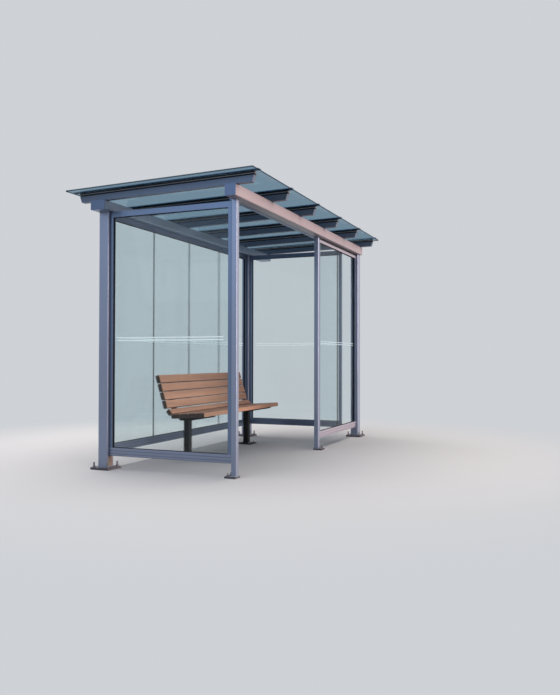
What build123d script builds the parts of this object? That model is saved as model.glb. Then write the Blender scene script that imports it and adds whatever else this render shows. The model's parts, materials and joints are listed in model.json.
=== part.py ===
from build123d import *
import math
import os

# Bus shelter with a glass roof, framed glass walls and a bench.
# Millimetres, +Z up. X runs along the shelter, -Y is the entrance side.
# The origin is on the ground under the middle of the roof.

# Posts
large_post_size = 101.6
large_post_wall = 5.0
large_post_corner = 9.0
large_post_inner_corner = 4.0
small_post_size = 50.8
small_post_wall = 4.0
small_post_corner = 6.0
small_post_inner_corner = 2.0
post_line_spacing = 1337.0
near_post_setback = 109.0
entrance_spacing = 2088.0
back_far_post_setback = 535.0

# Base plates under the posts
large_plate_size = 200.0
large_plate_thickness = 20.0
large_plate_hole_spacing = 150.0
large_plate_hole_diameter = 18.0
small_plate_size = 102.0
small_plate_thickness = 16.0
small_plate_hole_spacing = 64.0
small_plate_hole_diameter = 14.0

# Beams
front_beam_width = 101.6
front_beam_height = 101.6
front_beam_underside = 2403.0
front_beam_lead = 28.0
back_beam_width = 152.4
back_beam_height = 88.9
back_beam_drop = 15.0
back_beam_lead = 12.0
beam_wall = 5.0
beam_corner = 9.0
beam_inner_corner = 4.0
beam_overrun = 50.8
beam_cap_thickness = 4.0

# Rafters
rafter_count = 6
rafter_pitch = 742.0
rafter_width = 50.8
rafter_depth = 76.2
rafter_top_flange = 7.0
rafter_neck_height = 13.0
rafter_neck_inset = 12.0
rafter_wall = 4.0
rafter_seat_depth = 1.5
rafter_reach_front = 217.0
rafter_reach_back = 186.0
rafter_end_slant = 28.0
rafter_cap_thickness = 3.0

# Roof glazing
gasket_width = 40.0
gasket_thickness = 12.0
gasket_inset = 6.0
roof_glass_thickness = 12.7
roof_glass_overhang_ends = 137.0
roof_glass_overhang_sides = 278.0
roof_glass_joint = 10.0
glazing_bar_width = 44.0
glazing_bar_thickness = 8.0
glazing_bar_overrun = 5.0

# Wall frames
frame_thickness = 38.0
near_rail_underside = 125.0
back_rail_underside = 145.0
far_rail_underside = 165.0
front_rail_underside = 125.0
bottom_rail_height = 76.0
top_rail_height = 50.8
jamb_width = 34.0
pocket_width = 14.0
pocket_depth = 12.0
frame_wall = 4.0
groove_depth = 5.0
groove_height = 8.0
lower_groove_share = 0.3
upper_groove_share = 0.66
bottom_rail_edge = 6.0

# Wall glass
wall_glass_thickness = 10.0
wall_glass_edge_clearance = 4.0
wall_glass_joint = 4.0
back_pane_count = 4
front_pane_count = 2

# Bench
bench_length = 1865.0
bench_centre_from_near_wall = 1588.0
bench_front_to_back_wall = 677.0
bench_slat_thickness = 44.0
bench_slat_rounding = 7.0
seat_front_height = 492.0
seat_tilt = 3.9
seat_slat_width = 88.0
seat_slat_gap = 7.0
seat_slat_count = 4
turn_slat_share = 0.44
back_lean = 17.0
back_slat_width = 80.0
back_slat_gap = 8.5
back_slat_count = 4
back_start_behind_seat = 45.0
back_start_above_seat = 63.0
pedestal_size = 63.5
pedestal_wall = 5.0
pedestal_corner = 6.0
pedestal_inner_corner = 2.0
pedestal_setback = 229.0
pedestal_behind_seat_front = 313.0
pedestal_plate_size = 180.0
pedestal_plate_thickness = 12.0
pedestal_plate_hole_spacing = 130.0
pedestal_plate_hole_diameter = 12.0
bracket_width = 50.0
bracket_depth = 38.0
bracket_tip = 12.0
bracket_tip_setback = 12.0
upright_tip = 14.0
upright_top_setback = 30.0


# Positions that follow from the sizes
rafter_span = (rafter_count - 1) * rafter_pitch
rafter_positions = [i * rafter_pitch - rafter_span / 2 for i in range(rafter_count)]
front_line = -post_line_spacing / 2
back_line = post_line_spacing / 2
near_x = -rafter_span / 2 + near_post_setback
middle_x = near_x + entrance_spacing
far_x = rafter_span / 2
back_far_x = far_x - back_far_post_setback
back_beam_underside = front_beam_underside - back_beam_drop
front_beam_y = front_line - front_beam_lead
back_beam_y = back_line - back_beam_lead
front_beam_top = front_beam_underside + front_beam_height
back_beam_top = back_beam_underside + back_beam_height
beam_length = rafter_span + 2 * beam_overrun

# The roof falls from the front beam to the back beam. Its plane is the top of the glass.
roof_fall = math.atan2(front_beam_top - back_beam_top, back_beam_y - front_beam_y)
roof_build_up = rafter_depth + gasket_thickness + roof_glass_thickness
soffit_at_middle = front_beam_top - rafter_seat_depth + front_beam_y * math.tan(roof_fall)
roof_plane = Plane(
    origin=(0, 0, soffit_at_middle + roof_build_up / math.cos(roof_fall)),
    x_dir=(1, 0, 0),
    z_dir=(0, math.sin(roof_fall), math.cos(roof_fall)),
)
rafter_body_height = rafter_depth - rafter_top_flange - rafter_neck_height
rafter_front = front_line - rafter_reach_front
rafter_back = back_line + rafter_reach_back
rafter_underside = -roof_build_up
rafter_top = rafter_underside + rafter_depth
roof_glass_half_depth = post_line_spacing / 2 + roof_glass_overhang_sides
roof_glass_end = rafter_span / 2 + roof_glass_overhang_ends

os.makedirs("parts", exist_ok=True)


def save(name, solids):
    """Write one named node that holds one solid or several that stand apart."""
    shape = solids[0] if len(solids) == 1 else Compound(children=solids)
    export_step(shape, f"parts/{name}.step")


def block(x_range, y_range, z_range):
    """A box between two values along each axis."""
    size = [high - low for low, high in (x_range, y_range, z_range)]
    centre = [(high + low) / 2 for low, high in (x_range, y_range, z_range)]
    return Pos(*centre) * Box(*size)


def plate(centre, size, thickness, holes, hole_diameter):
    """A square floor plate drilled at the given points."""
    shape = Pos(centre[0], centre[1], thickness / 2) * Box(size, size, thickness)
    for x, y in holes:
        shape -= Pos(x, y, thickness / 2) * Cylinder(hole_diameter / 2, 2 * thickness)
    return shape


def corner_points(centre, spacing):
    """The four corners of a square around a centre."""
    half = spacing / 2
    return [(centre[0] + i * half, centre[1] + j * half) for i in (-1, 1) for j in (-1, 1)]


def tube_outline(width, height, wall, corner, inner_corner):
    """The cross-section of a rectangular tube with rounded corners."""
    inside = RectangleRounded(width - 2 * wall, height - 2 * wall, inner_corner)
    return RectangleRounded(width, height, corner) - inside


def post(centre, outline, bottom, top):
    """An upright tube between two heights."""
    return Pos(centre[0], centre[1], bottom) * extrude(outline, top - bottom)


def beam(width, height, y, underside):
    """A rectangular tube along X, with a gap at each end for its cap."""
    length = beam_length - 2 * beam_cap_thickness
    outline = tube_outline(width, height, beam_wall, beam_corner, beam_inner_corner)
    bar = extrude(Plane.YZ * outline, length)
    return Pos(-length / 2, y, underside + height / 2) * bar


def beam_caps(width, height, y, underside):
    """The two plates that close a beam."""
    cap = extrude(Plane.YZ * RectangleRounded(width, height, beam_corner), beam_cap_thickness)
    starts = (-beam_length / 2, beam_length / 2 - beam_cap_thickness)
    return [Pos(start, y, underside + height / 2) * cap for start in starts]


def prism(points, x_range):
    """A shape drawn in the YZ plane and drawn out between two values of X."""
    face = Plane.YZ * make_face(Polyline(*points, close=True))
    return Pos(x_range[0], 0, 0) * extrude(face, x_range[1] - x_range[0])


# Posts and plates
large_posts = {
    "post_back_near": ((near_x, back_line), back_beam_underside),
    "post_front_far": ((far_x, front_line), front_beam_underside),
    "post_back_far": ((back_far_x, back_line), back_beam_underside),
}
small_posts = {
    "post_front_near": ((near_x, front_line), 1),
    "post_front_middle": ((middle_x, front_line), -1),
}
large_outline = tube_outline(
    large_post_size, large_post_size, large_post_wall, large_post_corner, large_post_inner_corner
)
small_outline = tube_outline(
    small_post_size, small_post_size, small_post_wall, small_post_corner, small_post_inner_corner
)
large_plates = []
for name, (centre, top) in large_posts.items():
    save(name, [post(centre, large_outline, large_plate_thickness, top)])
    holes = corner_points(centre, large_plate_hole_spacing)
    large_plates.append(
        plate(centre, large_plate_size, large_plate_thickness, holes, large_plate_hole_diameter)
    )
save("base_plates_large", large_plates)

small_plates = []
for name, (centre, side) in small_posts.items():
    save(name, [post(centre, small_outline, small_plate_thickness, front_beam_underside)])
    plate_y = centre[1] + side * (small_plate_size - small_post_size) / 2
    hole_y = centre[1] + side * small_plate_size / 2
    holes = [(centre[0] + i * small_plate_hole_spacing / 2, hole_y) for i in (-1, 1)]
    small_plates.append(
        plate(
            (centre[0], plate_y), small_plate_size, small_plate_thickness, holes, small_plate_hole_diameter
        )
    )
save("base_plates_small", small_plates)

# Beams
front_beam_sizes = (front_beam_width, front_beam_height, front_beam_y, front_beam_underside)
back_beam_sizes = (back_beam_width, back_beam_height, back_beam_y, back_beam_underside)
save("front_beam", [beam(*front_beam_sizes)])
save("back_beam", [beam(*back_beam_sizes)])
save("beam_end_caps", beam_caps(*front_beam_sizes) + beam_caps(*back_beam_sizes))


# Rafters
def rafter_outline():
    """The rafter's cross-section: a square-edged body, a narrow neck and a thin flange on top."""
    outline = Rectangle(rafter_width, rafter_depth, align=(Align.CENTER, Align.MIN))
    groove = Rectangle(2 * rafter_neck_inset, rafter_neck_height, align=(Align.CENTER, Align.MIN))
    for side in (-1, 1):
        outline -= Pos(side * rafter_width / 2, rafter_body_height) * groove
    return outline


def rafter_bar(outline):
    """A length of rafter longer than the roof, along the fall of the roof plane."""
    reach = roof_glass_half_depth + rafter_end_slant
    section = Plane(origin=(0, reach, rafter_underside), x_dir=(1, 0, 0), z_dir=(0, -1, 0))
    return extrude(section * outline, 2 * reach)


def slanted_slice(bottom_front, bottom_back, slant_front, slant_back):
    """The side view of a rafter or of one of its caps, as a wide prism."""
    points = [
        (bottom_front, rafter_underside),
        (bottom_back, rafter_underside),
        (bottom_back + slant_back, rafter_top),
        (bottom_front + slant_front, rafter_top),
    ]
    return prism(points, (-rafter_width, rafter_width))


cavity = Pos(0, rafter_wall) * Rectangle(
    rafter_width - 2 * rafter_wall,
    rafter_body_height - 2 * rafter_wall,
    align=(Align.CENTER, Align.MIN),
)
solid_bar = rafter_bar(rafter_outline())
hollow_bar = rafter_bar(rafter_outline() - cavity)
bar_front = rafter_front + rafter_cap_thickness
bar_back = rafter_back - rafter_cap_thickness
rafter = hollow_bar & slanted_slice(bar_front, bar_back, -rafter_end_slant, rafter_end_slant)
front_cap = solid_bar & slanted_slice(rafter_front, bar_front, -rafter_end_slant, -rafter_end_slant)
back_cap = solid_bar & slanted_slice(bar_back, rafter_back, rafter_end_slant, rafter_end_slant)

seat_cutters = [
    block(
        (-rafter_width, rafter_width),
        (y - width / 2, y + width / 2),
        (underside, underside + height),
    )
    for width, height, y, underside in (front_beam_sizes, back_beam_sizes)
]
seated_rafter = roof_plane.location * rafter
for cutter in seat_cutters:
    seated_rafter -= cutter
save("rafters", [Pos(x, 0, 0) * seated_rafter for x in rafter_positions])
save(
    "rafter_end_caps",
    [Pos(x, 0, 0) * (roof_plane.location * cap) for x in rafter_positions for cap in (front_cap, back_cap)],
)

# Roof glazing
gasket_front = rafter_front - rafter_end_slant + gasket_inset
gasket_back = rafter_back + rafter_end_slant - gasket_inset
gaskets = [
    block(
        (x - gasket_width / 2, x + gasket_width / 2),
        (gasket_front, gasket_back),
        (-roof_glass_thickness - gasket_thickness, -roof_glass_thickness),
    )
    for x in rafter_positions
]
bar_reach = roof_glass_half_depth + glazing_bar_overrun
bars = [
    block(
        (x - glazing_bar_width / 2, x + glazing_bar_width / 2),
        (-bar_reach, bar_reach),
        (0, glazing_bar_thickness),
    )
    for x in rafter_positions
]
pane_edges = [-roof_glass_end] + rafter_positions[1:-1] + [roof_glass_end]
roof_panes = []
for i in range(len(pane_edges) - 1):
    left = pane_edges[i] + (roof_glass_joint / 2 if i > 0 else 0)
    right = pane_edges[i + 1] - (roof_glass_joint / 2 if i < len(pane_edges) - 2 else 0)
    roof_panes.append(
        block(
            (left, right),
            (-roof_glass_half_depth, roof_glass_half_depth),
            (-roof_glass_thickness, 0),
        )
    )
for name, pieces in (("roof_gaskets", gaskets), ("roof_glass", roof_panes), ("glazing_bars", bars)):
    save(name, [roof_plane.location * piece for piece in pieces])


# Wall frames
def rail_outline(height, grooved):
    """A wall rail's cross-section with its glass pocket at the top."""
    outline = Rectangle(frame_thickness, height, align=(Align.CENTER, Align.MIN))
    if grooved:
        outline = chamfer(outline.vertices().sort_by(Axis.Y)[:2], bottom_rail_edge)
    pocket = Rectangle(pocket_width, 2 * pocket_depth)
    cavity_width = frame_thickness - 2 * groove_depth - 2 * frame_wall
    cavity_height = height - pocket_depth - 2 * frame_wall
    outline -= Pos(0, height) * pocket
    outline -= Pos(0, frame_wall) * Rectangle(
        cavity_width, cavity_height, align=(Align.CENTER, Align.MIN)
    )
    if grooved:
        groove = Rectangle(2 * groove_depth, groove_height)
        for side in (-1, 1):
            for share in (lower_groove_share, upper_groove_share):
                outline -= Pos(side * frame_thickness / 2, share * height) * groove
    return outline


def bottom_rail(length, underside):
    """A grooved rail along X, its pocket facing up."""
    standing = Plane(origin=(-length / 2, 0, underside), x_dir=(0, 1, 0), z_dir=(1, 0, 0))
    return extrude(standing * rail_outline(bottom_rail_height, True), length)


def top_rail(length, top):
    """A plain rail along X under a beam, its pocket facing down."""
    hung = Plane(origin=(-length / 2, 0, top), x_dir=(0, -1, 0), z_dir=(1, 0, 0))
    return extrude(hung * rail_outline(top_rail_height, False), length)


def jamb(side, height):
    """An upright frame side at X = 0 with its pocket towards -X or +X."""
    outline = Rectangle(jamb_width, frame_thickness)
    outline -= Pos(side * jamb_width / 2, 0) * Rectangle(2 * pocket_depth, pocket_width)
    return extrude(outline, height)


def wall(name, start, end, turned, underside, top, pane_count):
    """A framed glass wall from start to end, along X or turned along Y."""
    (x0, y0), (x1, y1) = start, end
    length = abs(x1 - x0) + abs(y1 - y0)
    place = Pos((x0 + x1) / 2, (y0 + y1) / 2, 0) * Rot(0, 0, 90 if turned else 0)
    rail_top = underside + bottom_rail_height
    opening_top = top - top_rail_height
    jamb_x = (length - jamb_width) / 2
    jambs = [
        place * Pos(side * jamb_x, 0, rail_top) * jamb(-side, opening_top - rail_top) for side in (-1, 1)
    ]
    glass_length = length - 2 * jamb_width + 2 * (pocket_depth - wall_glass_edge_clearance)
    pane_length = (glass_length - (pane_count - 1) * wall_glass_joint) / pane_count
    glass_z = (rail_top - pocket_depth, opening_top + pocket_depth - wall_glass_edge_clearance)
    half_glass = wall_glass_thickness / 2
    panes = []
    for i in range(pane_count):
        left = -glass_length / 2 + i * (pane_length + wall_glass_joint)
        panes.append(place * block((left, left + pane_length), (-half_glass, half_glass), glass_z))
    save(f"{name}_bottom_rail", [place * bottom_rail(length, underside)])
    save(f"{name}_top_rail", [place * top_rail(length, top)])
    save(f"{name}_jambs", jambs)
    save(f"{name}_glass", panes)


large_half = large_post_size / 2
small_half = small_post_size / 2
wall(
    "near_end_wall",
    (near_x, front_line + small_half),
    (near_x, back_line - large_half),
    True,
    near_rail_underside,
    back_beam_underside,
    1,
)
wall(
    "back_wall",
    (near_x + large_half, back_line),
    (back_far_x - large_half, back_line),
    False,
    back_rail_underside,
    back_beam_underside,
    back_pane_count,
)
wall(
    "far_end_wall",
    (back_far_x, front_line + frame_thickness / 2),
    (back_far_x, back_line - large_half),
    True,
    far_rail_underside,
    back_beam_underside,
    1,
)
wall(
    "front_screen",
    (middle_x + small_half, front_line),
    (far_x - large_half, front_line),
    False,
    front_rail_underside,
    front_beam_underside,
    front_pane_count,
)

# Bench
bench_x = near_x + bench_centre_from_near_wall
seat_front_y = back_line - bench_front_to_back_wall
seat_angle = math.radians(seat_tilt)
lean_angle = math.radians(back_lean)
seat_depth = seat_slat_count * seat_slat_width + (seat_slat_count - 1) * seat_slat_gap
back_height = back_slat_count * back_slat_width + (back_slat_count - 1) * back_slat_gap


def seat_point(along, below):
    """A point in the YZ plane, measured back along the seat and down from it."""
    y = seat_front_y + along * math.cos(seat_angle) - below * math.sin(seat_angle)
    z = seat_front_height - along * math.sin(seat_angle) - below * math.cos(seat_angle)
    return (y, z)


seat_end = seat_point(seat_depth, 0)
back_start = (seat_end[0] + back_start_behind_seat, seat_end[1] + back_start_above_seat)


def back_point(along, behind):
    """A point in the YZ plane, measured up along the backrest and behind it."""
    y = back_start[0] + along * math.sin(lean_angle) + behind * math.cos(lean_angle)
    z = back_start[1] + along * math.cos(lean_angle) - behind * math.sin(lean_angle)
    return (y, z)


def slat(width, centre, angle):
    """One rounded slat along X, turned about its own middle."""
    board = Box(bench_length, width, bench_slat_thickness)
    board = fillet(board.edges().filter_by(Axis.X), bench_slat_rounding)
    return Pos(bench_x, centre[0], centre[1]) * Rot(math.degrees(angle), 0, 0) * board


seat_slats = [
    slat(
        seat_slat_width,
        seat_point(i * (seat_slat_width + seat_slat_gap) + seat_slat_width / 2, bench_slat_thickness / 2),
        -seat_angle,
    )
    for i in range(seat_slat_count)
]
back_slats = [
    slat(
        back_slat_width,
        back_point(i * (back_slat_width + back_slat_gap) + back_slat_width / 2, bench_slat_thickness / 2),
        math.pi / 2 - lean_angle,
    )
    for i in range(back_slat_count)
]
save("bench_seat_slats", seat_slats)
save("bench_back_slats", back_slats)

# The slat at the bend lies on the line between the lower corners of the seat and the backrest.
seat_rear_low = seat_point(seat_depth, bench_slat_thickness)
back_rear_low = back_point(0, bench_slat_thickness)
bend_angle = math.atan2(back_rear_low[1] - seat_rear_low[1], back_rear_low[0] - seat_rear_low[0])
bend_length = math.dist(seat_rear_low, back_rear_low)


def bend_point(along, below):
    """A point in the YZ plane, measured up along the bend line and below it."""
    y = seat_rear_low[0] + along * math.cos(bend_angle) + below * math.sin(bend_angle)
    z = seat_rear_low[1] + along * math.sin(bend_angle) - below * math.cos(bend_angle)
    return (y, z)


turn_middle = bend_point(bend_length / 2, -bench_slat_thickness / 2)
save("bench_turn_slat", [slat(turn_slat_share * bend_length, turn_middle, bend_angle)])

# Brackets and pedestals under the bench
pedestal_y = seat_front_y + pedestal_behind_seat_front
pedestal_x = [bench_x + side * (bench_length / 2 - pedestal_setback) for side in (-1, 1)]
over_pedestal = seat_point(pedestal_behind_seat_front, bench_slat_thickness)
bracket_underside = over_pedestal[1] - bracket_depth
arm_outline = [
    seat_point(bracket_tip_setback, bench_slat_thickness),
    seat_rear_low,
    bend_point(0, bracket_depth),
    (bend_point(0, bracket_depth)[0], bracket_underside),
    (pedestal_y - pedestal_size / 2, bracket_underside),
    seat_point(bracket_tip_setback, bench_slat_thickness + bracket_tip),
]
upright_outline = [
    seat_rear_low,
    back_rear_low,
    back_point(back_height - upright_top_setback, bench_slat_thickness),
    back_point(back_height - upright_top_setback, bench_slat_thickness + upright_tip),
    back_point(0, bench_slat_thickness + bracket_depth),
    bend_point(0, bracket_depth),
]
bracket_spans = [(x - bracket_width / 2, x + bracket_width / 2) for x in pedestal_x]
save("bench_arms", [prism(arm_outline, span) for span in bracket_spans])
save("bench_uprights", [prism(upright_outline, span) for span in bracket_spans])
pedestal_outline = tube_outline(
    pedestal_size, pedestal_size, pedestal_wall, pedestal_corner, pedestal_inner_corner
)
save(
    "bench_pedestals",
    [
        post((x, pedestal_y), pedestal_outline, pedestal_plate_thickness, bracket_underside)
        for x in pedestal_x
    ],
)
save(
    "bench_floor_plates",
    [
        plate(
            (x, pedestal_y),
            pedestal_plate_size,
            pedestal_plate_thickness,
            corner_points((x, pedestal_y), pedestal_plate_hole_spacing),
            pedestal_plate_hole_diameter,
        )
        for x in pedestal_x
    ],
)
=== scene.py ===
import json
import math

import bmesh
import bpy
from mathutils import Matrix, Vector


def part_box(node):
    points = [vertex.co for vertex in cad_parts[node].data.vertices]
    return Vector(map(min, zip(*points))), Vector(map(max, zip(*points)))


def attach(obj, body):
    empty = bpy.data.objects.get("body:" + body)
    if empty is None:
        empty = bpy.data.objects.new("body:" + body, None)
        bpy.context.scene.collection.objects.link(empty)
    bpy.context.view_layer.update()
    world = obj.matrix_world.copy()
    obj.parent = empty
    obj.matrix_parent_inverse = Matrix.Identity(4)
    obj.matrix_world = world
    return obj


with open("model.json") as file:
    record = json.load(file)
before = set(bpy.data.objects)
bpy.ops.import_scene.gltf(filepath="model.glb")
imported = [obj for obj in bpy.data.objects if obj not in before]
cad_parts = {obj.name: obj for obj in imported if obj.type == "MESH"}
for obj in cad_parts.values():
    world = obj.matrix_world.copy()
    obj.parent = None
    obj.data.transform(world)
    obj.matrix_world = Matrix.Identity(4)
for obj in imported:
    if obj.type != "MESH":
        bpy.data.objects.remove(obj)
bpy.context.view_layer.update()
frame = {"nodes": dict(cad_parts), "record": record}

# Wall frames, as in the solids. All sizes are in metres unless their name says otherwise.
jamb_width = 0.034
pane_counts = {"near_end_wall": 1, "back_wall": 4, "far_end_wall": 1, "front_screen": 2}
end_walls = ("near_end_wall", "far_end_wall")

# Seals round the wall glass and between its panes. A wall's low side faces -X or -Y.
gasket_face = 0.004
# On the low side the seal stands out further, over the frame's return: partly seal, partly painted shade
# there
gasket_proud_low_side = 0.007
gasket_proud_high_side = 0.003
joint_seal_width = 0.0045
joint_seal_proud = 0.0006
joint_seal_end_gap = 0.001

# Stripes on the low side of the wall glass
stripe_height = 0.009
stripe_levels = (1.200, 1.224)
near_end_stripe_drop = 0.007
stripe_margin = 0.05
stripe_gap = 0.00005
stripe_proud = 0.0004

# The black strip over the front screen, which is painted shade under the front beam, and the trim along the
# inner side of the front beam
head_shade_strip_height = 0.020
head_shade_strip_proud = 0.001
head_shade_strip_top_gap = 0.0005
inner_trim_width = 0.048
inner_trim_height = 0.038
inner_trim_gap = 0.0002
inner_trim_rounding = 0.002

# Anchors, by the radius in millimetres of the hole that they stand in
anchors = {
    9.0: {
        "plates": "base_plates_large",
        "stud_radius": 0.008,
        "stud_above_nut": 0.034,
        "nut_flats": 0.024,
        "nut_height": 0.013,
        "washer_radius": 0.015,
    },
    7.0: {
        "plates": "base_plates_small",
        "stud_radius": 0.006,
        "stud_above_nut": 0.018,
        "nut_flats": 0.019,
        "nut_height": 0.010,
        "washer_radius": 0.012,
    },
    6.0: {
        "plates": "bench_floor_plates",
        "stud_radius": 0.005,
        "stud_above_nut": 0.010,
        "nut_flats": 0.017,
        "nut_height": 0.008,
        "washer_radius": 0.010,
    },
}
washer_thickness = 0.0025
washer_sides = 24
nut_sides = 6
stud_sides = 16
anchor_chamfer = 0.0008
level_tolerance = 0.000001
millimetre = 0.001

# Welds round the feet of the posts
weld_size = 0.007
weld_top_clearance = 0.0005

# The rafters' neck, below the top flange, coloured black: a dark gasket there, deepened as painted shade
# under the flange
roof_glass_to_flange_bottom = 0.0317
rafter_neck_height = 0.013

# The rusty patch low on the -Y side of the near back post
rust_level = 0.07
rust_from_post_middle = 0.05
rust_reach = (0.055, 0.03, 0.075)

# The least part of a normal along an axis that counts as facing along it
facing_share = 0.7

# Floor, backdrop and light
backdrop_colour = (0.62, 0.64, 0.67)
floor_colour = (0.90, 0.84, 0.79)
floor_half_size = 60.0
floor_fade_start = 2.0
floor_fade_end = 5.0
floor_share_thrown_back = 0.25
glow_colour = (0.76, 0.84, 1.0)
glow_strength = 0.26
lamps_aim_at = Vector((0.0, 0.0, 1.2))

# Camera, fitted to the photo
eye = Vector((-7.2790, -3.3968, 1.0319))
yaw, pitch, roll = math.radians(22.651), math.radians(0.851), math.radians(0.095)
focal_pixels = 714.7
photo_long_side_pixels = 695
sensor_width_mm = 36.0
camera_reach = 200.0


# Shading
class Value:
    """A node's output that takes part in arithmetic."""

    def __init__(self, paint, socket):
        self.paint = paint
        self.socket = socket

    def maths(self, operation, other, swapped=False):
        first, second = (other, self) if swapped else (self, other)
        return self.paint.node("ShaderNodeMath", {"operation": operation}, {0: first, 1: second})[0]

    def __add__(self, other):
        return self.maths("ADD", other)

    def __radd__(self, other):
        return self.maths("ADD", other, swapped=True)

    def __sub__(self, other):
        return self.maths("SUBTRACT", other)

    def __rsub__(self, other):
        return self.maths("SUBTRACT", other, swapped=True)

    def __mul__(self, other):
        return self.maths("MULTIPLY", other)

    def __rmul__(self, other):
        return self.maths("MULTIPLY", other, swapped=True)

    def __gt__(self, other):
        return self.maths("GREATER_THAN", other)

    def __abs__(self):
        return self.maths("ABSOLUTE", 0.0)

    def larger(self, other):
        return self.maths("MAXIMUM", other)


class Outputs:
    """A node's outputs, read by name or number."""

    def __init__(self, paint, made):
        self.paint = paint
        self.made = made

    def __getitem__(self, key):
        return Value(self.paint, self.made.outputs[key])


class Paint:
    """The shading of a material or of the world, under construction."""

    def __init__(self, owner, output_kind="ShaderNodeOutputMaterial"):
        self.owner = owner
        owner.use_nodes = True
        self.tree = owner.node_tree
        self.tree.nodes.clear()
        self.output = self.tree.nodes.new(output_kind)

    def node(self, kind, settings=None, sockets=None):
        """Any node, from its type, its settings and the values or links of its sockets."""
        made = self.tree.nodes.new(kind)
        for key, value in (settings or {}).items():
            if key == "stops":
                for element, (position, colour) in zip(made.color_ramp.elements, value):
                    element.position = position
                    element.color = (*colour, 1.0)
            else:
                setattr(made, key, value)
        for key, value in (sockets or {}).items():
            if isinstance(value, Value):
                self.tree.links.new(value.socket, made.inputs[key])
            elif isinstance(value, tuple) and made.inputs[key].type == "RGBA":
                made.inputs[key].default_value = (*value, 1.0)
            else:
                made.inputs[key].default_value = value
        return Outputs(self, made)

    def place(self, stretch=(1.0, 1.0, 1.0)):
        """Object coordinates, stretched along the axes."""
        coordinates = self.node("ShaderNodeTexCoord")["Object"]
        return self.node("ShaderNodeMapping", sockets={"Vector": coordinates, "Scale": stretch})["Vector"]

    def noise(self, scale, detail=3.0, stretch=(1.0, 1.0, 1.0), roughness=0.5):
        """Noise from 0 to 1, with the scale in features per metre."""
        return self.node(
            "ShaderNodeTexNoise",
            sockets={
                "Vector": self.place(stretch),
                "Scale": scale,
                "Detail": detail,
                "Roughness": roughness,
            },
        )["Fac"]

    def faces(self, axis):
        """1 where the surface faces along an axis, either way, and 0 elsewhere."""
        normal = self.node("ShaderNodeTexCoord")["Normal"]
        parts = self.node("ShaderNodeSeparateXYZ", sockets={"Vector": normal})
        return abs(parts[axis]) > facing_share

    def recess(self, reach):
        """How closed in a point is by what stands within reach, from 0 to 1."""
        return 1.0 - self.node("ShaderNodeAmbientOcclusion", {"samples": 16}, {"Distance": reach})["AO"]

    def vector(self, operation, first, second):
        """Arithmetic on two vectors."""
        return self.node("ShaderNodeVectorMath", {"operation": operation}, {0: first, 1: second})[0]

    def length(self, vector):
        """A vector's length, as a number."""
        return self.node("ShaderNodeVectorMath", {"operation": "LENGTH"}, {0: vector})["Value"]

    def red(self, colour):
        """A colour's red part, as a number."""
        return self.node("ShaderNodeSeparateColor", sockets={"Color": colour})["Red"]

    def mix(self, factor, first, second):
        """A colour between two others."""
        return self.node(
            "ShaderNodeMix", {"data_type": "RGBA"}, {"Factor": factor, 6: first, 7: second}
        )[2]

    def ramp(self, factor, stops):
        """A colour from two stops, each a position and a colour."""
        return self.node("ShaderNodeValToRGB", {"stops": stops}, {"Fac": factor})["Color"]

    def bump(self, height, strength, distance):
        """A normal raised and lowered by a pattern."""
        return self.node(
            "ShaderNodeBump", sockets={"Height": height, "Strength": strength, "Distance": distance}
        )["Normal"]

    def blend(self, factor, first, second):
        """A mix of two shaders."""
        return self.node("ShaderNodeMixShader", sockets={"Fac": factor, 1: first, 2: second})["Shader"]

    def clouded_with_corner_shade(self, colour):
        """A metal's colour with faint clouding, and painted shade that darkens it in corners and recesses.
        """
        dark, light, corner_shade = (tuple(share * part for part in colour) for share in (0.88, 1.06, 0.3))
        clouds = self.mix(self.noise(scale=1.7, detail=2.0), dark, light)
        # Painted shade: the colour falls to 0.3 of itself where other surfaces close it in within 12 mm
        return self.mix(self.recess(reach=0.012), clouds, corner_shade)

    def worn(self, roughness):
        """A metal's roughness with fine wear, up or down by 0.05."""
        return roughness + 0.1 * (self.noise(scale=60.0, detail=4.0) - 0.5)

    def uneven(self, roughness):
        """A roughness that rises faintly in places."""
        return roughness + 0.06 * self.noise(scale=40.0)

    def shows_backdrop(self):
        """1 where the camera sees a surface straight, mirrored or through glass, up to the first
        matt bounce, and 0 for the light that falls on the object."""
        rays = self.node("ShaderNodeLightPath")
        looked_at = rays["Is Camera Ray"].larger(rays["Is Transmission Ray"]).larger(rays["Is Glossy Ray"])
        return looked_at * (1.0 - (rays["Diffuse Depth"] > 0.5))

    def show(self, shader):
        """Link a finished shader to the output."""
        self.tree.links.new(shader.socket, self.output.inputs["Surface"])
        return self.owner

    def finish(self, **sockets):
        """The principled surface, with socket names written with underscores."""
        named = {key.replace("_", " "): value for key, value in sockets.items()}
        return self.show(self.node("ShaderNodeBsdfPrincipled", sockets=named)["BSDF"])


# Kinds of finish
def satin_metal(name, colour, roughness, metallic):
    """Painted or anodised metal with fine wear in the gloss."""
    paint = Paint(bpy.data.materials.new(name))
    return paint.finish(
        Base_Color=paint.clouded_with_corner_shade(colour),
        Metallic=metallic,
        Roughness=paint.worn(roughness),
    )


def rusty_metal(name, colour, roughness, metallic, centre, reach):
    """Satin metal with one ragged patch of rust."""
    paint = Paint(bpy.data.materials.new(name))
    offset = paint.vector("SUBTRACT", paint.place(), centre)
    away = paint.length(paint.vector("DIVIDE", offset, reach))
    ragged = away + 1.4 * (paint.noise(scale=24.0, detail=5.0) - 0.5)
    rust = paint.red(paint.ramp(ragged, [(0.55, (1.0, 1.0, 1.0)), (1.1, (0.0, 0.0, 0.0))]))
    stain = paint.mix(paint.noise(scale=45.0, detail=4.0), (0.115, 0.09, 0.08), (0.25, 0.205, 0.18))
    return paint.finish(
        Base_Color=paint.mix(rust, paint.clouded_with_corner_shade(colour), stain),
        Metallic=metallic - metallic * rust,
        Roughness=paint.worn(roughness) + 0.4 * rust,
    )


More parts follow.
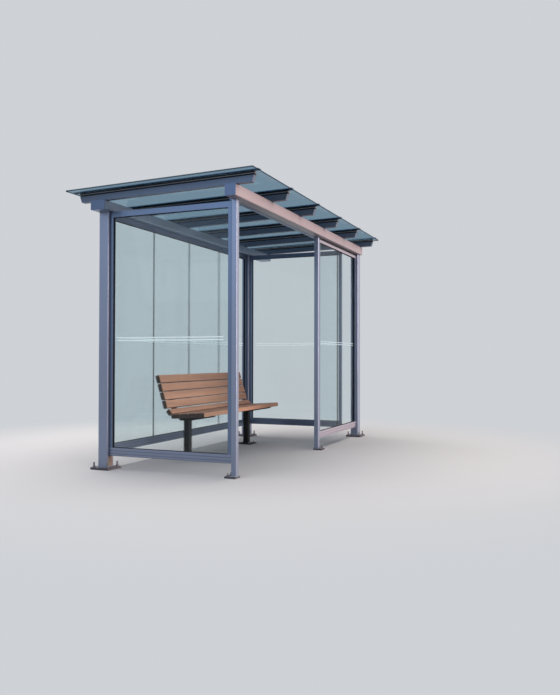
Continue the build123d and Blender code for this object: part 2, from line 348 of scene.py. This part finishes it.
def layered_metal(name, body_colour, neck_shade_colour, flange_colour, fall, neck_low, neck_high):
    """Rafter metal in three layers that follow the roof's fall: body, a black neck that is partly a dark
    gasket and partly painted shade under the flange, and top flange.
    """
    paint = Paint(bpy.data.materials.new(name))
    parts = paint.node("ShaderNodeSeparateXYZ", sockets={"Vector": paint.place()})
    level = parts["Z"] + fall * parts["Y"]
    # Partly painted shade: the band just below the flange takes the black neck colour
    above_body = paint.mix(level > neck_high, neck_shade_colour, flange_colour)
    return paint.finish(
        Base_Color=paint.mix(level > neck_low, paint.clouded_with_corner_shade(body_colour), above_body),
        Metallic=0.5,
        Roughness=paint.worn(0.40),
    )


def zinc_metal(name, colour, grime_colour):
    """Galvanised steel with a soft crystal pattern and grime."""
    paint = Paint(bpy.data.materials.new(name))
    crystals = paint.node("ShaderNodeTexVoronoi", sockets={"Vector": paint.place(), "Scale": 55.0})["Color"]
    bright = tuple(1.5 * part for part in colour)
    zinc = paint.mix(0.25 * paint.red(crystals), colour, bright)
    grime = paint.noise(scale=9.0, detail=4.0)
    return paint.finish(
        Base_Color=paint.mix(0.9 * grime, zinc, grime_colour),
        Metallic=0.6,
        Roughness=0.45 + 0.2 * grime,
    )


def tinted_glass(name, face_colour, edge_colour, face_alpha, face_axis, shine):
    """Clear tinted glass with a trace of dust, whose cut edges read darker and denser."""
    paint = Paint(bpy.data.materials.new(name))
    edge = 1.0 - paint.faces(face_axis)
    dust = paint.noise(scale=3.0, detail=5.0)
    edge_alpha = 0.92
    return paint.finish(
        Base_Color=paint.mix(edge, face_colour, edge_colour),
        Roughness=0.02,
        Alpha=face_alpha + 0.04 * dust + (edge_alpha - face_alpha) * edge,
        IOR=1.01,
        Transmission_Weight=1.0,
        Coat_Weight=shine,
        Coat_IOR=1.5,
        Coat_Roughness=0.02,
    )


def slat_wood(name, pale, deep, shaded_end_grain):
    """Oiled timber, grain along X, with end faces darker as end grain is and darker still as painted shade.
    """
    paint = Paint(bpy.data.materials.new(name))
    boards = paint.noise(scale=9.0, detail=0.0, stretch=(0.0, 1.0, 1.0))
    streaks = paint.noise(scale=34.0, detail=6.0, stretch=(0.05, 1.0, 1.0), roughness=0.6)
    fibres = paint.noise(scale=210.0, stretch=(0.02, 1.0, 1.0))
    grain = 0.45 * boards + 0.4 * streaks + 0.15 * fibres
    face = paint.ramp(grain, [(0.3, deep), (0.62, pale)])
    return paint.finish(
        # Partly painted shade: faces across the grain take the dark end colour
        Base_Color=paint.mix(paint.faces("X"), face, shaded_end_grain),
        Roughness=0.5 + 0.2 * streaks,
        Normal=paint.bump(fibres, strength=0.25, distance=0.001),
    )


def plain(name, colour, roughness, shine):
    """One even finish with a faint change in gloss."""
    paint = Paint(bpy.data.materials.new(name))
    return paint.finish(
        Base_Color=colour,
        Roughness=paint.uneven(roughness),
        Specular_IOR_Level=shine,
    )


def frosted_glowing(name, colour, through):
    """A whitish film on glass that lets blurred light through and has a faint painted glow."""
    paint = Paint(bpy.data.materials.new(name))
    return paint.finish(
        Base_Color=colour,
        Roughness=paint.uneven(0.75),
        IOR=1.05,
        Transmission_Weight=through,
        # Painted light: the film glows though it is no lamp
        Emission_Color=colour,
        Emission_Strength=0.3,
    )


def pale_floor(name, colour):
    """A matt floor that fades into the plain backdrop colour far from the object."""
    paint = Paint(bpy.data.materials.new(name))
    away = paint.length(paint.place())
    fade = paint.node(
        "ShaderNodeMapRange",
        {"interpolation_type": "SMOOTHSTEP"},
        {"Value": away, "From Min": floor_fade_start, "From Max": floor_fade_end},
    )["Result"]
    seen = paint.shows_backdrop()
    thrown_back = tuple(floor_share_thrown_back * part for part in colour)
    dim = paint.node("ShaderNodeBsdfDiffuse", sockets={"Color": thrown_back})["BSDF"]
    lit = paint.node("ShaderNodeBsdfDiffuse", sockets={"Color": colour})["BSDF"]
    flat = paint.node("ShaderNodeEmission", sockets={"Color": backdrop_colour})["Emission"]
    return paint.show(paint.blend(fade * seen, paint.blend(seen, dim, lit), flat))


def studio_world(name):
    """A soft glow on the object, in front of the plain backdrop."""
    paint = Paint(bpy.data.worlds.new(name), "ShaderNodeOutputWorld")
    glow = paint.node("ShaderNodeBackground", sockets={"Color": glow_colour, "Strength": glow_strength})
    backdrop = paint.node("ShaderNodeBackground", sockets={"Color": backdrop_colour})
    return paint.show(paint.blend(paint.shows_backdrop(), glow["Background"], backdrop["Background"]))


# The roof's fall in metres per metre and the levels of the rafters' neck, read from the solids
front_beam_low, front_beam_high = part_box("front_beam")
back_beam_low, back_beam_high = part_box("back_beam")
beam_spacing = (back_beam_low[1] + back_beam_high[1] - front_beam_low[1] - front_beam_high[1]) / 2
roof_fall = (front_beam_high[2] - back_beam_high[2]) / beam_spacing
roof_glass_low, roof_glass_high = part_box("roof_glass")
neck_high = roof_glass_high[2] + roof_fall * roof_glass_low[1] - roof_glass_to_flange_bottom
neck_low = neck_high - rafter_neck_height

# Finishes
# The posts' blue-grey is their paint made bluer, as painted sky light on the faces turned from the front
sky_tinted_post_colour = (0.28, 0.325, 0.44)
black = (0.012, 0.013, 0.016)
wall_glass_tint = (0.48, 0.65, 0.68)
wall_glass_edge = (0.04, 0.09, 0.10)
near_post_low, near_post_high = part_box("post_back_near")
rust_centre = (
    (near_post_low[0] + near_post_high[0]) / 2,
    (near_post_low[1] + near_post_high[1]) / 2 - rust_from_post_middle,
    rust_level,
)

post_finish = satin_metal("satin_post_metal", sky_tinted_post_colour, roughness=0.34, metallic=0.6)
rusty_post_finish = rusty_metal(
    "satin_post_metal_rusty",
    sky_tinted_post_colour,
    roughness=0.34,
    metallic=0.6,
    centre=rust_centre,
    reach=rust_reach,
)
# The front beam's pinkish tone is painted warm light, as falls on its front face
front_beam_finish = satin_metal("satin_beam_metal", (0.35, 0.30, 0.33), roughness=0.40, metallic=0.35)
back_beam_finish = satin_metal("satin_back_beam_metal", (0.29, 0.37, 0.48), roughness=0.36, metallic=0.6)
cap_finish = satin_metal("satin_cap_metal", (0.12, 0.165, 0.27), roughness=0.38, metallic=0.6)
bar_finish = satin_metal("satin_bar_metal", (0.22, 0.28, 0.37), roughness=0.40, metallic=0.6)
# The rafters share the posts' paint; their darker body colour is painted shade from the roof above them
rafter_finish = layered_metal(
    "satin_rafter_metal",
    body_colour=(0.125, 0.16, 0.225),
    neck_shade_colour=black,
    flange_colour=(0.27, 0.25, 0.255),
    fall=roof_fall,
    neck_low=neck_low,
    neck_high=neck_high,
)
frame_finish = satin_metal("anodised_frame_metal", (0.165, 0.22, 0.33), roughness=0.32, metallic=0.6)
# The screen rails' lilac tone is painted warm light on their front faces
screen_rail_finish = satin_metal("screen_rail_metal", (0.36, 0.35, 0.43), roughness=0.42, metallic=0.35)
plate_finish = zinc_metal("galvanised_plate", (0.11, 0.125, 0.165), grime_colour=(0.10, 0.06, 0.045))
anchor_finish = satin_metal("anchor_steel", (0.2, 0.21, 0.23), roughness=0.42, metallic=0.85)
weld_finish = satin_metal("weld_bead", (0.22, 0.26, 0.34), roughness=0.5, metallic=0.75)
roof_glass_finish = tinted_glass(
    "roof_glass", (0.18, 0.325, 0.43), (0.012, 0.022, 0.04), face_alpha=0.80, face_axis="Z", shine=0.2
)
end_glass_finish = tinted_glass(
    "end_wall_glass", wall_glass_tint, wall_glass_edge, face_alpha=0.35, face_axis="X", shine=0.8
)
long_glass_finish = tinted_glass(
    "long_wall_glass", wall_glass_tint, wall_glass_edge, face_alpha=0.35, face_axis="Y", shine=0.8
)
rubber_finish = plain("black_rubber", black, roughness=0.55, shine=0.3)
joint_finish = plain("grey_sealant", (0.09, 0.11, 0.115), roughness=0.35, shine=0.5)
stripe_finish = frosted_glowing("frosted_glowing_stripe", (0.80, 0.87, 0.88), through=0.5)
# The cedar's tones are partly the wood's own and partly darkened as painted shade, for the shade inside the
# shelter
wood_finish = slat_wood(
    "oiled_cedar", pale=(0.36, 0.208, 0.142), deep=(0.20, 0.11, 0.074), shaded_end_grain=(0.12, 0.068, 0.05)
)
bench_steel_finish = plain("black_bench_steel", (0.006, 0.007, 0.009), roughness=0.45, shine=0.2)

# Each solid takes the first finish here whose words begin its name, or else the frames' metal
finishes = {
    "post_back_near": rusty_post_finish,
    "post_": post_finish,
    "base_plates": plate_finish,
    "front_beam": front_beam_finish,
    "back_beam": back_beam_finish,
    "beam_end_caps": cap_finish,
    "rafter": rafter_finish,
    "glazing_bars": bar_finish,
    "roof_gaskets": rubber_finish,
    "roof_glass": roof_glass_finish,
    "near_end_wall_glass": end_glass_finish,
    "far_end_wall_glass": end_glass_finish,
    "back_wall_glass": long_glass_finish,
    "front_screen_glass": long_glass_finish,
    "near_end_wall_bottom_rail": post_finish,
    "front_screen_bottom_rail": screen_rail_finish,
    "front_screen_top_rail": screen_rail_finish,
    "bench_seat_slats": wood_finish,
    "bench_back_slats": wood_finish,
    "bench_turn_slat": wood_finish,
    "bench_": bench_steel_finish,
}
for node, solid in frame["nodes"].items():
    fitting = (finish for start, finish in finishes.items() if node.startswith(start))
    solid.data.materials.clear()
    solid.data.materials.append(next(fitting, frame_finish))


# Building helpers
def place_mesh(name, shape, finish):
    """Turn a finished bmesh into an object of the scene."""
    mesh = bpy.data.meshes.new(name)
    shape.to_mesh(mesh)
    shape.free()
    mesh.materials.append(finish)
    made = bpy.data.objects.new(name, mesh)
    bpy.context.collection.objects.link(made)
    return made


def keep(name, shape, finish):
    """Turn a finished bmesh into a piece that rides with the object."""
    bmesh.ops.recalc_face_normals(shape, faces=shape.faces)
    piece = place_mesh(name, shape, finish)
    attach(piece, "root")
    return piece


def add_box(shape, low, high):
    """A box between two corners."""
    low, high = Vector(low), Vector(high)
    place = Matrix.Translation((low + high) / 2) @ Matrix.Diagonal((*(high - low), 1.0))
    bmesh.ops.create_cube(shape, size=1.0, matrix=place)


def add_wall_box(shape, along, runs, depths, heights):
    """A box in a wall that runs along one axis: where it runs, how deep it sits and how high."""
    low, high = ([0.0, 0.0, height] for height in heights)
    low[along], high[along] = runs
    low[1 - along], high[1 - along] = depths
    add_box(shape, low, high)


def add_prism(shape, foot, sides, height, radius, top_radius=None, turn=0.0):
    """An upright prism or frustum that stands on a point."""
    middle = Matrix.Translation(Vector(foot) + Vector((0, 0, height / 2)))
    bmesh.ops.create_cone(
        shape,
        cap_ends=True,
        segments=sides,
        radius1=radius,
        radius2=radius if top_radius is None else top_radius,
        depth=height,
        matrix=middle @ Matrix.Rotation(turn, 4, "Z"),
    )


def soften(shape, edges, offset, segments):
    """Bevel the given edges."""
    bmesh.ops.bevel(
        shape,
        geom=edges,
        offset=offset,
        offset_type="OFFSET",
        affect="EDGES",
        segments=segments,
        profile=0.5,
        material=-1,
    )


def is_level(edge):
    """Whether an edge lies flat."""
    return abs(edge.verts[0].co.z - edge.verts[1].co.z) < level_tolerance


# Anchors: a washer, a nut and the end of a stud at each hole of the floor plates
washers, nuts, studs = bmesh.new(), bmesh.new(), bmesh.new()
for mount in frame["record"]["mounts"]:
    sizes = mount["dims"]
    anchor = anchors[sizes["hole_r_mm"]]
    plate_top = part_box(anchor["plates"])[1][2]
    half_x = sizes.get("spacing_x_mm", 0) * millimetre / 2
    half_y = sizes.get("spacing_y_mm", 0) * millimetre / 2
    for i in (-1, 1):
        for j in (-1, 1) if half_y else (0,):
            foot = Vector(mount["pos_m"]) + Vector((i * half_x, j * half_y, plate_top))
            nut_foot = foot + Vector((0, 0, washer_thickness))
            stud_height = anchor["nut_height"] + anchor["stud_above_nut"]
            nut_radius = anchor["nut_flats"] / math.sqrt(3)
            add_prism(washers, foot, washer_sides, washer_thickness, anchor["washer_radius"])
            add_prism(nuts, nut_foot, nut_sides, anchor["nut_height"], nut_radius)
            add_prism(studs, foot, stud_sides, stud_height, anchor["stud_radius"])
for shape, name in ((washers, "anchor_washers"), (nuts, "anchor_nuts"), (studs, "anchor_studs")):
    soften(shape, [edge for edge in shape.edges if is_level(edge)], anchor_chamfer, segments=1)
    keep(name, shape, anchor_finish)

# Weld beads where the posts stand on their plates
welds = bmesh.new()
for node in frame["nodes"]:
    if node.startswith("post_"):
        low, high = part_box(node)
        foot = ((low[0] + high[0]) / 2, (low[1] + high[1]) / 2, low[2])
        half = (high[0] - low[0]) / 2
        foot_radius = (half + weld_size) * math.sqrt(2)
        top_radius = (half + weld_top_clearance) * math.sqrt(2)
        add_prism(welds, foot, 4, weld_size, foot_radius, top_radius, turn=math.pi / 4)
keep("post_welds", welds, weld_finish)

# Seals, pane joints and stripes on the wall glass
seals, joints, stripes = bmesh.new(), bmesh.new(), bmesh.new()
for wall, pane_count in pane_counts.items():
    along = 1 if wall in end_walls else 0
    across = 1 - along
    glass_low, glass_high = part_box(f"{wall}_glass")
    jambs_low, jambs_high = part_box(f"{wall}_jambs")
    start = jambs_low[along] + jamb_width
    end = jambs_high[along] - jamb_width
    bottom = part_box(f"{wall}_bottom_rail")[1][2]
    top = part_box(f"{wall}_top_rail")[0][2]
    low_face, high_face = glass_low[across], glass_high[across]

    # The low-side seal's extra reach paints the shade on the frame's return
    for depths in (
        (low_face - gasket_proud_low_side, low_face),
        (high_face, high_face + gasket_proud_high_side),
    ):
        between = (bottom + gasket_face, top - gasket_face)
        add_wall_box(seals, along, (start, end), depths, (bottom, bottom + gasket_face))
        add_wall_box(seals, along, (start, end), depths, (top - gasket_face, top))
        add_wall_box(seals, along, (start, start + gasket_face), depths, between)
        add_wall_box(seals, along, (end - gasket_face, end), depths, between)

    for i in range(1, pane_count):
        middle = glass_low[along] + (glass_high[along] - glass_low[along]) * i / pane_count
        add_wall_box(
            joints,
            along,
            runs=(middle - joint_seal_width / 2, middle + joint_seal_width / 2),
            depths=(low_face - joint_seal_proud, high_face + joint_seal_proud),
            heights=(bottom + joint_seal_end_gap, top - joint_seal_end_gap),
        )

    drop = near_end_stripe_drop if wall == "near_end_wall" else 0.0
    for stripe_level in stripe_levels:
        level = stripe_level - drop
        add_wall_box(
            stripes,
            along,
            runs=(start + stripe_margin, end - stripe_margin),
            depths=(low_face - stripe_proud, low_face - stripe_gap),
            heights=(level - stripe_height / 2, level + stripe_height / 2),
        )
keep("wall_seals", seals, rubber_finish)
keep("pane_joints", joints, joint_finish)
stripes_piece = keep("glass_stripes", stripes, stripe_finish)

# A black strip along the top of the screen's top rail, under the front beam: painted shade, made as a thin
# rubber strip
head_low, head_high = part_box("front_screen_top_rail")
head_shade_strip = bmesh.new()
for depths in (
    (head_low[1] - head_shade_strip_proud, head_low[1]),
    (head_high[1], head_high[1] + head_shade_strip_proud),
):
    add_wall_box(
        head_shade_strip,
        0,
        runs=(head_low[0], head_high[0]),
        depths=depths,
        heights=(head_high[2] - head_shade_strip_height, head_high[2] - head_shade_strip_top_gap),
    )
keep("screen_head_shade_strip", head_shade_strip, rubber_finish)

# The trim strip along the inner side of the front beam, between the posts
trim = bmesh.new()
add_wall_box(
    trim,
    0,
    runs=(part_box("post_front_near")[1][0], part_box("post_front_far")[0][0]),
    depths=(front_beam_high[1] + inner_trim_gap, front_beam_high[1] + inner_trim_width),
    heights=(front_beam_low[2], front_beam_low[2] + inner_trim_height),
)
soften(trim, trim.edges[:], inner_trim_rounding, segments=2)
keep("beam_inner_trim", trim, cap_finish)

# Floor and world
scene = bpy.context.scene
floor_shape = bmesh.new()
bmesh.ops.create_grid(floor_shape, x_segments=1, y_segments=1, size=floor_half_size)
floor = place_mesh("floor", floor_shape, pale_floor("pale_floor", floor_colour))
scene.world = studio_world("studio")


# Lamps
def lamp(name, place, size, power, colour):
    """A square softbox aimed at the middle of the shelter, and not seen through glass."""
    light = bpy.data.lights.new(name, "AREA")
    light.size = size
    light.energy = power
    light.color = colour
    made = bpy.data.objects.new(name, light)
    made.visible_transmission = False
    made.location = place
    made.rotation_euler = (lamps_aim_at - Vector(place)).to_track_quat("-Z", "Y").to_euler()
    bpy.context.collection.objects.link(made)
    return made


front_softbox = lamp("front_softbox", (1.5, -12.0, 5.0), size=10.5, power=2900.0, colour=(1.0, 0.79, 0.69))
lamp("end_softbox", (-10.0, 2.0, 6.0), size=8.0, power=210.0, colour=(0.5, 0.7, 1.0))
lamp("back_softbox", (3.0, 10.0, 5.0), size=8.0, power=280.0, colour=(0.85, 0.92, 1.0))
lamp("top_softbox", (0.0, 0.0, 9.0), size=9.0, power=720.0, colour=(1.0, 0.98, 0.97))

# The front lamp doesn't light the glass and its stripes, which would glare, or the floor, which stays even
left_out = bpy.data.collections.new("left_out_by_front_softbox")
glass = [solid for node, solid in frame["nodes"].items() if node.endswith("glass")]
for shown in (*glass, floor, stripes_piece):
    left_out.objects.link(shown)
for entry in left_out.collection_objects:
    entry.light_linking.link_state = "EXCLUDE"
front_softbox.light_linking.receiver_collection = left_out

# Camera
forward = Vector((math.cos(yaw) * math.cos(pitch), math.sin(yaw) * math.cos(pitch), math.sin(pitch)))
level_right = Vector((math.sin(yaw), -math.cos(yaw), 0.0))
level_up = level_right.cross(forward)
right = math.cos(roll) * level_right + math.sin(roll) * level_up
up = math.cos(roll) * level_up - math.sin(roll) * level_right
camera_data = bpy.data.cameras.new("camera")
camera_data.sensor_width = sensor_width_mm
camera_data.lens = sensor_width_mm * focal_pixels / photo_long_side_pixels
camera_data.clip_end = camera_reach
camera = bpy.data.objects.new("camera", camera_data)
camera.matrix_world = Matrix.Translation(eye) @ Matrix((right, up, -forward)).transposed().to_4x4()
bpy.context.collection.objects.link(camera)
scene.camera = camera
scene.view_settings.view_transform = "Standard"
